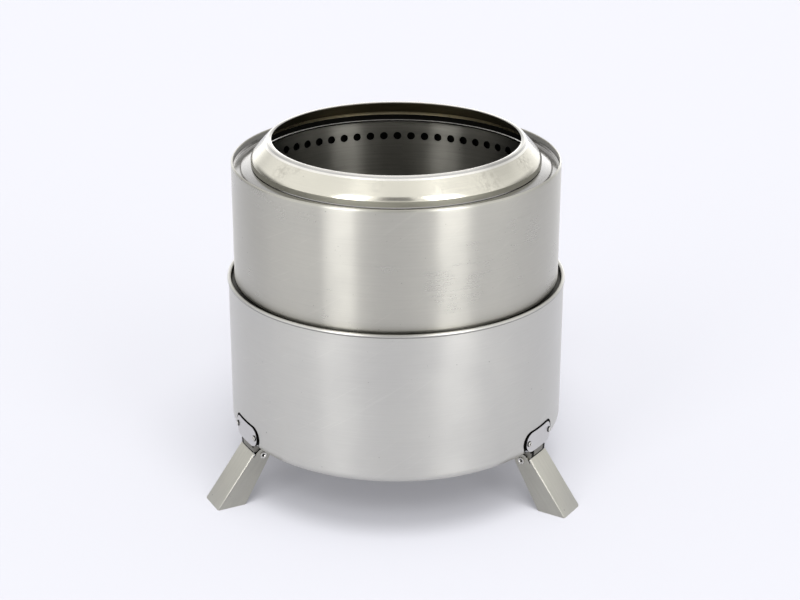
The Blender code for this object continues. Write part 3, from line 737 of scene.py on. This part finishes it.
def rivet_place(azimuth, side, radius=0.0):
    """A place on the line of one rivet of a bracket, +Z outward."""
    angle = math.asin(RIVET_SPACING / 2 / PLATE_OUTSIDE)
    return around(azimuth + side * angle) @ Matrix.Translation((radius, 0, PLATE_Z)) @ OUTWARD


def curved_plate(name, index, azimuth, profile, sheet, outline, collection):
    """A piece of curved sheet at an azimuth, cut to an outline."""
    piece = turned(f"{name}_{index}", profile, sheet, PLATE_STEPS, PLATE_SWEEP, collection)
    piece.rotation_euler.z = azimuth - PLATE_SWEEP / 2
    stencil = plate(f"{name}_stencil_{index}", outline, 10 * PLATE_SHEET)
    stencil.matrix_world = facing(azimuth, PLATE_OUTSIDE)
    combine(piece, stencil, "INTERSECT")
    return piece


def ear_outline():
    middle = PLATE_OUTSIDE - PLATE_SHEET / 2
    points = [(middle - GAP, PLATE_LOW + GAP), (middle - NECK_INSET - GAP, NECK_END + GAP)]
    points += arc((HINGE_RADIUS, HINGE_Z), EAR_EYE, *EAR_ARC, 2 * ARC_STEPS)
    points.append((SHELL_INSIDE - EAR_EYE / 2, SHELL_FOOT + GAP))
    return points


def build_bracket(index, azimuth):
    """A curved plate with a neck bent in below it, two ears for the hinge pin and two notches."""
    profile = [(PLATE_OUTSIDE, PLATE_LOW + PLATE_HEIGHT + GAP), (PLATE_OUTSIDE, PLATE_LOW - GAP)]
    bracket = curved_plate("bracket", index, azimuth, profile, PLATE_SHEET,
                           round_ended(PLATE_LENGTH / 2, PLATE_HEIGHT / 2, PLATE_Z), PIECES)
    profile = [(NECK_OUTSIDE + 2 * GAP, PLATE_LOW + 2 * NECK_INSET), (NECK_OUTSIDE, NECK_LINE),
               (NECK_OUTSIDE, NECK_END)]
    strip = [(-NECK_HALF, NECK_END - NECK_INSET), (-NECK_HALF, PLATE_Z), (NECK_HALF, PLATE_Z),
             (NECK_HALF, NECK_END - NECK_INSET)]
    neck = curved_plate("neck", index, azimuth, profile, PLATE_SHEET - NECK_INSET + GAP, strip, CUTTERS)
    combine(bracket, settle(neck), "UNION")

    for side in (-1, 1):
        lug = plate(f"ear_{index}_{side + 1}", ear_outline(), EAR_SHEET)
        lug.matrix_world = around(azimuth) @ Matrix.Translation((0, side * (NECK_HALF - EAR_SHEET / 2), 0))
        combine(bracket, lug, "UNION")
        notch_in, notch_out = side * (NECK_HALF - NOTCH_WIDTH), side * (NECK_HALF + NOTCH_WIDTH)
        corner = [(notch_in, NOTCH_LOW), (notch_in, NOTCH_TOP), (notch_out, NOTCH_TOP),
                  (notch_out, NOTCH_LOW)]
        notch = plate(f"notch_{index}_{side + 1}", corner, 2 * PLATE_SHEET)
        notch.matrix_world = facing(azimuth, PLATE_OUTSIDE - PLATE_SHEET / 2)
        combine(bracket, notch, "DIFFERENCE")
    rods = [rivet_place(azimuth, side, PLATE_OUTSIDE) for side in (-1, 1)]
    holes = drills(f"bracket_holes_{index}", rods, RIVET_SHANK + GAP, 6 * PLATE_SHEET)
    combine(bracket, holes, "DIFFERENCE")
    bracket = shade(bracket, PLATE_STEEL, bevel=PLATE_EDGE)
    paint_bracket(bracket, azimuth)
    place_on(bracket, "base", "satin_steel", f"leg_bracket_{index}")


def paint_bracket(bracket, azimuth):
    """Painted shade on the neck below the plate, on its foot, in the notches and on the edges of the plate.
    """
    ahead = Vector((math.cos(azimuth), math.sin(azimuth), 0.0))
    across = Vector((-math.sin(azimuth), math.cos(azimuth), 0.0))
    repaint(bracket, NECK_SHADED_STEEL, lambda spot: spot.z < PLATE_LOW + NECK_INSET
            and spot.middle.dot(ahead) < NECK_OUTSIDE + 1.5 * GAP)
    repaint(bracket, SHADE_STEEL, lambda spot: spot.z < NECK_LINE
            and (spot.out > 0.8 or abs(spot.normal.dot(across)) > 0.8))
    repaint(bracket, SHADE_STEEL, lambda spot: NOTCH_LOW - MERGE < spot.z < NOTCH_TOP + MERGE
            and abs(spot.middle.dot(across)) > NECK_HALF - NOTCH_WIDTH - MERGE)
    repaint(bracket, SHADE_STEEL, lambda spot: spot.z > PLATE_LOW - GAP and abs(spot.out) < 0.5)


def build_rivets():
    """Domed rivets with a shallow dimple in the head."""
    head_z = PLATE_OUTSIDE + GAP / 2
    tail_z = PAN_HIGH.x - PAN_WALL - GAP
    top = head_z + RIVET_HEAD_HEIGHT
    points = [(0.0, top - RIVET_DIMPLE_DEPTH), (RIVET_DIMPLE_FLOOR, top - RIVET_DIMPLE_DEPTH + EASE),
              (RIVET_DIMPLE, top - EASE)]
    points += [(RIVET_HEAD_RADIUS * math.cos(a), head_z + RIVET_HEAD_HEIGHT * math.sin(a))
               for a in map(math.radians, RIVET_DOME)]
    tail_end = tail_z - RIVET_TAIL_HEIGHT
    points += [(RIVET_SHANK, head_z), (RIVET_SHANK, tail_z), (RIVET_HEAD_RADIUS, tail_z),
               (RIVET_HEAD_RADIUS, tail_end + 2 * EASE), (0.0, tail_end)]
    index = 1
    for azimuth in leg_azimuths():
        for side in (-1, 1):
            rivet = turned(f"rivet_skin_{index}", points, steps=SMALL_STEPS)
            rivet.matrix_world = rivet_place(azimuth, side)
            rivet = shade(rivet, RIVET_STEEL)
            # Painted shade in the dimple and round the edge of the head
            repaint(rivet, SHADE_STEEL, lambda spot: spot.z > head_z
                    and (spot.r < RIVET_SHADE_CENTRE or spot.r > RIVET_SHADE_EDGE))
            place_on(rivet, "base", "bright_steel", f"rivet_{index}")
            index += 1


# Legs

def leg_frame(azimuth):
    """The place of a hinge: X outward, Y along the pin."""
    return around(azimuth) @ Matrix.Translation((HINGE_RADIUS, 0, HINGE_Z))


def build_pin(index, azimuth):
    """A hinge pin with a dimpled head outside each of the leg's flanges."""
    seat = LEG_WIDTH / 2 + GAP
    end = seat + PIN_HEAD_HEIGHT
    half = [(0.0, end - PIN_DIMPLE_DEPTH), (PIN_DIMPLE, end - PIN_DIMPLE_DEPTH + EASE),
            (PIN_DIMPLE + PIN_DIMPLE_SLOPE, end - EASE), (PIN_DIMPLE + PIN_DIMPLE_SLOPE + 4 * EASE, end),
            (PIN_HEAD_RADIUS - PIN_HEAD_BEND - EASE, end), (PIN_HEAD_RADIUS, end - PIN_HEAD_BEND),
            (PIN_HEAD_RADIUS, seat), (PIN_RADIUS, seat)]
    points = half + [(r, -z) for r, z in reversed(half)]
    pin = turned(f"pin_skin_{index}", points, steps=SMALL_STEPS)
    pin.matrix_world = leg_frame(azimuth) @ Matrix.Rotation(math.radians(90), 4, "X")
    pin = shade(pin, RIVET_STEEL)
    repaint(pin, SHADE_STEEL, lambda spot: spot.r < PIN_DIMPLE and abs(spot.z) > seat)
    place_on(pin, "base", "bright_steel", f"hinge_pin_{index}")


def leg_outline():
    """One flange of a leg about its pin, x outward and y up, from the eye to the floor."""
    edge = math.degrees(LEG_SLOPE + LEG_TAPER)
    eye_side = LEG_OUT * LEG_EYE
    slot_low = LEG_WEB_START + RELIEF_DEPTH
    web_inside = LEG_OUT * (LEG_WEB_OFFSET - LEG_SHEET)
    web_outside = LEG_OUT * LEG_WEB_OFFSET
    floor = -HINGE_Z
    points = arc((0.0, 0.0), LEG_EYE, 270 - edge, 90 - math.degrees(LEG_SLOPE), 2 * ARC_STEPS)
    points += [tuple(eye_side + LEG_DOWN * slot_low), tuple(web_inside + LEG_DOWN * slot_low),
               tuple(web_inside + LEG_DOWN * LEG_WEB_START),
               tuple(web_outside + LEG_DOWN * LEG_WEB_START)]
    points.append(tuple(web_outside + LEG_DOWN * ((floor - web_outside.y) / LEG_DOWN.y)))
    inner_start = Vector(points[0])
    inner_down = Vector((math.cos(math.radians(edge)), -math.sin(math.radians(edge))))
    points.append(tuple(inner_start + inner_down * ((floor - inner_start.y) / inner_down.y)))
    return points


def round_leg_bends(block):
    """Round the two long outer edges where the web turns into the flanges."""
    shape = bmesh.new()
    shape.from_mesh(block.data)
    bends = []
    for edge in shape.edges:
        a, b = (v.co for v in edge.verts)
        on_web = all(abs(v.xz.dot(LEG_OUT) - LEG_WEB_OFFSET) < MERGE for v in (a, b))
        if on_web and abs(b.y - a.y) < MERGE and (b - a).length > LEG_WIDTH:
            bends.append(edge)
    bmesh.ops.bevel(shape, geom=bends, offset=LEG_BEND, segments=LEG_BEND_STEPS, profile=0.5,
                    affect="EDGES", clamp_overlap=True)
    shape.to_mesh(block.data)
    shape.free()


def keep_flanges_flat(leg):
    """Stop the rounding of the edges from tilting the light on the flanges."""
    edges = {key for face in leg.data.polygons if abs(face.normal.y) > 0.999 for key in face.edge_keys}
    for edge in leg.data.edges:
        if edge.key in edges:
            edge.use_edge_sharp = True


def build_leg(index, azimuth):
    """A block with rounded bends, hollowed to a channel past both of its ends and bored."""
    leg = plate(f"leg_skin_{index}", leg_outline(), LEG_WIDTH, PIECES)
    round_leg_bends(leg)
    inside = LEG_OUT * (LEG_WEB_OFFSET - LEG_SHEET)
    long = LEG_DOWN * LEG_CUT
    deep = LEG_OUT * (-4 * LEG_WIDTH)
    top = LEG_DOWN * (-2 * LEG_EYE)
    channel = [tuple(inside + top), tuple(inside + long), tuple(inside + long + deep),
               tuple(inside + top + deep)]
    hollow = plate(f"leg_channel_{index}", channel, LEG_WIDTH - 2 * LEG_SHEET)
    combine(leg, hollow, "DIFFERENCE")
    bore = drills(f"leg_bore_{index}", [Matrix.Rotation(math.radians(90), 4, "X")],
                  PIN_RADIUS + GAP, 2 * LEG_WIDTH)
    combine(leg, bore, "DIFFERENCE")
    leg = shade(leg, LEG_STEEL, bevel=LEG_EDGE)
    keep_flanges_flat(leg)
    # Painted light on the web, which faces out, and painted shade on the edges round the eye
    repaint(leg, WEB_LIT_STEEL, lambda spot: spot.normal.xz.dot(LEG_OUT) > 0.5)
    repaint(leg, SHADE_STEEL, lambda spot: abs(spot.normal.y) < 0.3
            and spot.middle.xz.length < LEG_EYE + GAP and spot.middle.xz.dot(LEG_DOWN) < LEG_WEB_START)
    leg.matrix_world = leg_frame(azimuth)
    place_on(leg, f"leg_{index}", "leg_steel", f"leg_{index}")


# Drum

def build_drum():
    radius, low, high = DRUM_HIGH.x, DRUM_LOW.z, DRUM_HIGH.z
    covered = CUP_HIGH.z + SHOULDER_SHEET + SHOULDER_FLANGE - SHOULDER_BEND
    points = arc((radius - RIM_BEND, high - RIM_BEND), RIM_BEND, RIM_BEND_START, 0, RIM_STEPS)
    points.append((radius, covered))
    points += arc((radius - DRUM_CORNER, low + DRUM_CORNER), DRUM_CORNER, 0, -90)
    points += arc((COLLAR_RADIUS + COLLAR_BEND, low + COLLAR_BEND), COLLAR_BEND, -90, -180, BEND_STEPS)
    points.append((COLLAR_RADIUS, low + COLLAR_HEIGHT))
    wall = turned("drum_skin", points, DRUM_WALL)
    circle = (COLLAR_RADIUS + SEAT_INNER) / 2
    combine(wall, drills("drum_inlets", rods_on_circle(INLETS, circle, low), INLET_RADIUS,
                         6 * DRUM_WALL), "DIFFERENCE")
    wall = shade(wall, DRUM_STEEL)
    inside = radius - DRUM_WALL / 2
    repaint(wall, SHADE_STEEL, lambda spot: spot.z < covered and spot.r < inside and spot.out < -0.2)
    repaint(wall, RIM_STEEL, lambda spot: covered < spot.z < high - RIM_BEND and spot.r < inside)
    place_on(wall, "drum", "satin_steel", "drum_outer_wall")


def build_chamber():
    radius, low, high = CUP_HIGH.x, CUP_LOW.z, CUP_HIGH.z
    points = [(radius, high)]
    points += arc((radius - CUP_CORNER, low + CUP_CORNER), CUP_CORNER, 0, -90)
    points.append((GRATE_OPENING, low))
    cup = turned("chamber_skin", points, CUP_WALL)
    rods = rods_through_wall(JETS, radius, high - JET_DROP, math.radians(90) + JET_PHASE)
    combine(cup, drills("drum_jets", rods, JET_RADIUS, 8 * CUP_WALL), "DIFFERENCE")
    cup = shade(cup, CHAMBER_SHADE_STEEL)
    place_on(cup, "drum", "inner_steel", "drum_inner_wall")


def rounded(points, radius):
    """Round each inner corner of a polyline."""
    line = [points[0]]
    for before, corner, after in zip(points, points[1:], points[2:]):
        b, c, a = Vector(before), Vector(corner), Vector(after)
        reach = min(radius, (b - c).length * BEND_SHARE, (a - c).length * BEND_SHARE)
        start = c + (b - c).normalized() * reach
        end = c + (a - c).normalized() * reach
        for i in range(BEND_STEPS + 1):
            t = i / BEND_STEPS
            line.append(tuple(start * (1 - t) ** 2 + c * 2 * t * (1 - t) + end * t ** 2))
    line.append(points[-1])
    return line


def build_shoulder():
    inner = CUP_HIGH.x - CUP_WALL - SHOULDER_TREAD
    step = CUP_HIGH.x - CUP_WALL - GAP - SHOULDER_SHEET
    flange = SHOULDER_RADIUS - SHOULDER_SHEET
    floor = CUP_HIGH.z + GAP + SHOULDER_SHEET
    tread = floor + SHOULDER_TREAD_RISE
    points = [(inner, tread - SHOULDER_INNER_LIP - SHOULDER_BEND), (inner, tread),
              (step, floor + SHOULDER_STEP_RISE), (step, floor), (flange, floor),
              (flange, floor + SHOULDER_FLANGE)]
    ring = turned("shoulder_skin", rounded(points, SHOULDER_BEND), SHOULDER_SHEET)
    ring = shade(ring, STEP_STEEL)
    repaint(ring, SHADE_STEEL, lambda spot: spot.r < inner + 2 * SHOULDER_BEND and spot.out < 0)
    place_on(ring, "drum", "satin_steel", "shoulder_ring")


def meeting_slope(first, first_radius, second, second_radius):
    """The angle at which one straight line touches two arcs from the same side."""
    slope = 45.0
    for _ in range(30):
        turn = math.radians(slope)
        dx = first[0] - second[0] + (first_radius - second_radius) * math.cos(turn)
        dy = first[1] - second[1] + (first_radius - second_radius) * math.sin(turn)
        slope = math.degrees(math.atan2(dy, dx)) - 90
    return slope


def build_ring():
    """A cone that rolls over at its lip and curves down gently into a short skirt."""
    skirt, low, high = RING_HIGH.x, RING_LOW.z, RING_HIGH.z
    corner_z = low + RING_CORNER_RISE
    skirt_top = corner_z - 0.6 * RING_CORNER_BEND
    lip = (skirt - RING_RUN + RING_LIP_BEND * math.sin(math.radians(RING_LIP_LEAN)), high - RING_LIP_BEND)
    tight = (skirt - RING_CORNER_BEND, corner_z - RING_CORNER_BEND)
    turn = math.radians(RING_TIGHT_TURN)
    reach = RING_GENTLE_BEND - RING_CORNER_BEND
    gentle = (tight[0] - reach * math.cos(turn), tight[1] - reach * math.sin(turn))
    slope = meeting_slope(lip, RING_LIP_BEND, gentle, RING_GENTLE_BEND)
    points = arc(lip, RING_LIP_BEND, 90 + RING_LIP_LEAN, slope, 2 * ARC_STEPS)
    lip_end = points[-1]
    ridge_end = (lip_end[0] + RING_RIDGE * math.sin(math.radians(slope)),
                 lip_end[1] - RING_RIDGE * math.cos(math.radians(slope)))
    points.append(ridge_end)
    points += arc(gentle, RING_GENTLE_BEND, slope, RING_TIGHT_TURN)
    points += arc(tight, RING_CORNER_BEND, RING_TIGHT_TURN, 0, RIM_STEPS)
    points += [(skirt, corner_z - 1.2 * RING_CORNER_BEND), (skirt, low)]
    ring = shade(turned("ring_skin", points, RING_SHEET), RING_STEEL)

    def outside(spot):
        return spot.out > -0.4 and spot.normal.z > 0.1

    def on_lip(spot):
        return outside(spot) and spot.r < lip_end[0]

    def inside(spot):
        return spot.normal.z < -0.1 or spot.out < -0.5

    def past_line(spot):
        return math.degrees(math.atan2(spot.z - lip[1], spot.r - lip[0])) > RING_LIP_LINE

    # Painted shade on the skirt, on a band of the lip, under the ring and below the crease inside; painted
    # highlights along the lip's edge, the ridge and the crease inside
    repaint(ring, SKIRT_SHADE_STEEL, lambda spot: spot.z < skirt_top and spot.out > 0)
    repaint(ring, LIP_SHADE_STEEL, lambda spot: on_lip(spot) and not past_line(spot))
    repaint(ring, LIP_HIGHLIGHT_STEEL, lambda spot: on_lip(spot) and past_line(spot)
            or outside(spot) and lip_end[0] < spot.r < ridge_end[0])
    repaint(ring, RING_UNDERSIDE_SHADE_STEEL, lambda spot: inside(spot) and spot.r > lip[0] + RING_SHEET)
    repaint(ring, CREASE_HIGHLIGHT_STEEL, lambda spot: inside(spot) and spot.r > skirt - 8 * RING_SHEET
            and spot.z > skirt_top)
    repaint(ring, SHADE_STEEL, lambda spot: inside(spot) and spot.z < skirt_top)
    place_on(ring, "flame_ring", "bright_steel", "flame_ring")


def build_grate():
    top = GRATE_HIGH.z
    dish = GRATE_OPENING - GRATE_DISH_GAP
    points = [(0.0, top - GRATE_DISH), (dish - GRATE_DISH, top - GRATE_DISH), (dish, top),
              (GRATE_HIGH.x, top)]
    grate = turned("grate_skin", rounded(points, GRATE_BEND), GRATE_SHEET)
    rods = [Matrix.Translation((0, 0, top))]
    for ring in range(1, GRATE_RINGS + 1):
        rods += rods_on_circle(6 * ring, GRATE_PITCH * ring, top, ring * GRATE_TWIST)
    combine(grate, drills("grate_holes", rods, GRATE_HOLE_RADIUS, 8 * GRATE_DISH), "DIFFERENCE")
    place_on(shade(grate, HIDDEN_STEEL), "fire_grate", "inner_steel", "fire_grate")


def build_ash_pan():
    radius, low, high = ASH_HIGH.x, ASH_LOW.z, ASH_HIGH.z
    points = [(radius, high), (radius - ASH_BEND, high), (radius - ASH_BEND, low), (0.0, low)]
    pan = turned("ash_pan_skin", rounded(points, ASH_BEND), ASH_SHEET)
    place_on(shade(pan, HIDDEN_STEEL), "ash_pan", "inner_steel", "ash_pan")


# Stage

def build_floor():
    mesh = bpy.data.meshes.new("floor")
    corners = [(x * FLOOR_HALF, y * FLOOR_HALF, 0) for x, y in ((-1, -1), (1, -1), (1, 1), (-1, 1))]
    mesh.from_pydata(corners, [], [(0, 1, 2, 3)])
    floor = mesh_object("floor", mesh, bpy.context.scene.collection)
    material = bpy.data.materials.new("floor")
    material.use_nodes = True
    shader = material.node_tree.nodes["Principled BSDF"]
    shader.inputs["Base Color"].default_value = FLOOR_COLOUR
    shader.inputs["Emission Color"].default_value = FLOOR_GLOW_COLOUR
    shader.inputs["Emission Strength"].default_value = FLOOR_GLOW
    shader.inputs["Roughness"].default_value = 0.9
    shader.inputs["Specular IOR Level"].default_value = 0.0
    mesh.materials.append(material)


def around_studio(tree, turn, levels):
    """Light levels by angle from the camera, in degrees, joined by straight lines."""
    place = spread(tree, turn, -math.pi, math.pi, 0.0, 1.0)
    node = add(tree, "ShaderNodeValToRGB", i0=place)
    ramp = node.color_ramp
    for i, (angle, level) in enumerate(levels):
        share = level / STUDIO_SCALE
        stop = ramp.elements[i] if i < 2 else ramp.elements.new(1.0)
        stop.position = (angle + 180) / 360
        stop.color = (share, share, share, 1.0)
    return maths(tree, "MULTIPLY", node.outputs[0], STUDIO_SCALE)


def fade(tree, angle, between, start, end):
    """Go from one level to another between two angles in degrees."""
    return spread(tree, angle, math.radians(between[0]), math.radians(between[1]), start, end)


def band(tree, elevation, heights):
    """A share that is full between the middle two of four heights in degrees."""
    return maths(tree, "MULTIPLY", fade(tree, elevation, heights[:2], 0.0, 1.0),
                 fade(tree, elevation, heights[2:], 1.0, 0.0))


def dimmed(tree, level, area, amount):
    return maths(tree, "MULTIPLY", level,
                 maths(tree, "SUBTRACT", 1.0, maths(tree, "MULTIPLY", area, amount)))


def build_studio():
    """A soft studio all round: a bright top, two tall rippled softboxes and a belt of other levels.

    Two patches are dimmer: a figure behind the camera, and the back. The camera itself sees a plain
    backdrop.
    """
    world = bpy.data.worlds.new("studio")
    bpy.context.scene.world = world
    world.use_nodes = True
    tree = world.node_tree
    background = tree.nodes["Background"]
    direction = add(tree, "ShaderNodeTexCoord").outputs["Generated"]
    x, y, z = add(tree, "ShaderNodeSeparateXYZ", Vector=direction).outputs
    azimuth = maths(tree, "ARCTAN2", x, maths(tree, "MULTIPLY", y, -1.0))
    turn = maths(tree, "SUBTRACT", azimuth, CAMERA_ORBIT)
    away = maths(tree, "ABSOLUTE", turn)
    elevation = maths(tree, "ARCSINE", z)

    belt = around_studio(tree, turn, STUDIO_BELT)
    top = fade(tree, elevation, STUDIO_TOP_EDGE, 0.0, 1.0)
    level = maths(tree, "ADD", maths(tree, "MULTIPLY", belt, maths(tree, "SUBTRACT", 1.0, top)),
                  maths(tree, "MULTIPLY", top, STUDIO_TOP))
    wave = maths(tree, "SINE", maths(tree, "MULTIPLY", away, math.tau / math.radians(SOFTBOX_RIPPLE_WIDTH)))
    ripple = maths(tree, "ADD", 1.0, maths(tree, "MULTIPLY", SOFTBOX_RIPPLE, wave))
    rise = fade(tree, elevation, STUDIO_TOP_EDGE, 1.0, SOFTBOX_RISE)
    boxes = maths(tree, "MULTIPLY", around_studio(tree, turn, STUDIO_SOFTBOXES),
                  maths(tree, "MULTIPLY", band(tree, elevation, SOFTBOX_HEIGHTS), rise))
    level = maths(tree, "ADD", level, maths(tree, "MULTIPLY", boxes, ripple))
    figure = maths(tree, "MULTIPLY", fade(tree, away, FIGURE_SIDES, 1.0, 0.0),
                   band(tree, elevation, FIGURE_HEIGHTS))
    level = dimmed(tree, level, figure, FIGURE_SHADE)
    back = maths(tree, "MULTIPLY", fade(tree, away, BACK_SIDES, 0.0, 1.0),
                 band(tree, elevation, BACK_HEIGHTS))
    level = dimmed(tree, level, back, BACK_SHADE)

    seen = tree.nodes.new("ShaderNodeLightPath").outputs["Is Camera Ray"]
    unseen = maths(tree, "SUBTRACT", 1.0, seen)
    strength = maths(tree, "ADD", seen, maths(tree, "MULTIPLY", unseen, level))
    colour = tree.nodes.new("ShaderNodeMix")
    colour.data_type = "RGBA"
    tree.links.new(seen, colour.inputs[0])
    colour.inputs[6].default_value = LIGHT_COLOUR
    colour.inputs[7].default_value = SEEN_COLOUR
    tree.links.new(colour.outputs[2], background.inputs["Color"])
    tree.links.new(strength, background.inputs["Strength"])


def build_floor_lights():
    """Soft lights from above and in front, for the floor only: metal shows the studio itself."""
    for i, (power, tilt, turn, width) in enumerate(FLOOR_LIGHTS, start=1):
        data = bpy.data.lights.new(f"floor_light_{i}", "SUN")
        data.energy = power
        data.angle = math.radians(width)
        light = bpy.data.objects.new(f"floor_light_{i}", data)
        bpy.context.scene.collection.objects.link(light)
        light.rotation_euler = (math.radians(tilt), 0.0, CAMERA_ORBIT + math.radians(turn))
        light.visible_glossy = False


def build_camera():
    data = bpy.data.cameras.new("camera")
    data.lens = CAMERA_LENS
    data.sensor_width = CAMERA_SENSOR
    data.clip_start = 0.01
    camera = bpy.data.objects.new("camera", data)
    bpy.context.scene.collection.objects.link(camera)
    camera.matrix_world = (Matrix.Rotation(CAMERA_ORBIT, 4, "Z") @ Matrix.Translation(CAMERA_PLACE)
                           @ Matrix.Rotation(math.radians(90) - CAMERA_PITCH, 4, "X")
                           @ Matrix.Rotation(CAMERA_ROLL, 4, "Z"))
    bpy.context.scene.camera = camera


build_camera()
build_shell()
build_pan()
build_seat()
build_rivets()
for index, azimuth in enumerate(leg_azimuths(), start=1):
    build_bracket(index, azimuth)
    build_pin(index, azimuth)
    build_leg(index, azimuth)
build_drum()
build_chamber()
build_shoulder()
build_ring()
build_grate()
build_ash_pan()
for cutter in list(CUTTERS.objects):
    bpy.data.objects.remove(cutter, do_unlink=True)
build_floor()
build_studio()
build_floor_lights()
bpy.context.scene.view_settings.view_transform = "Standard"
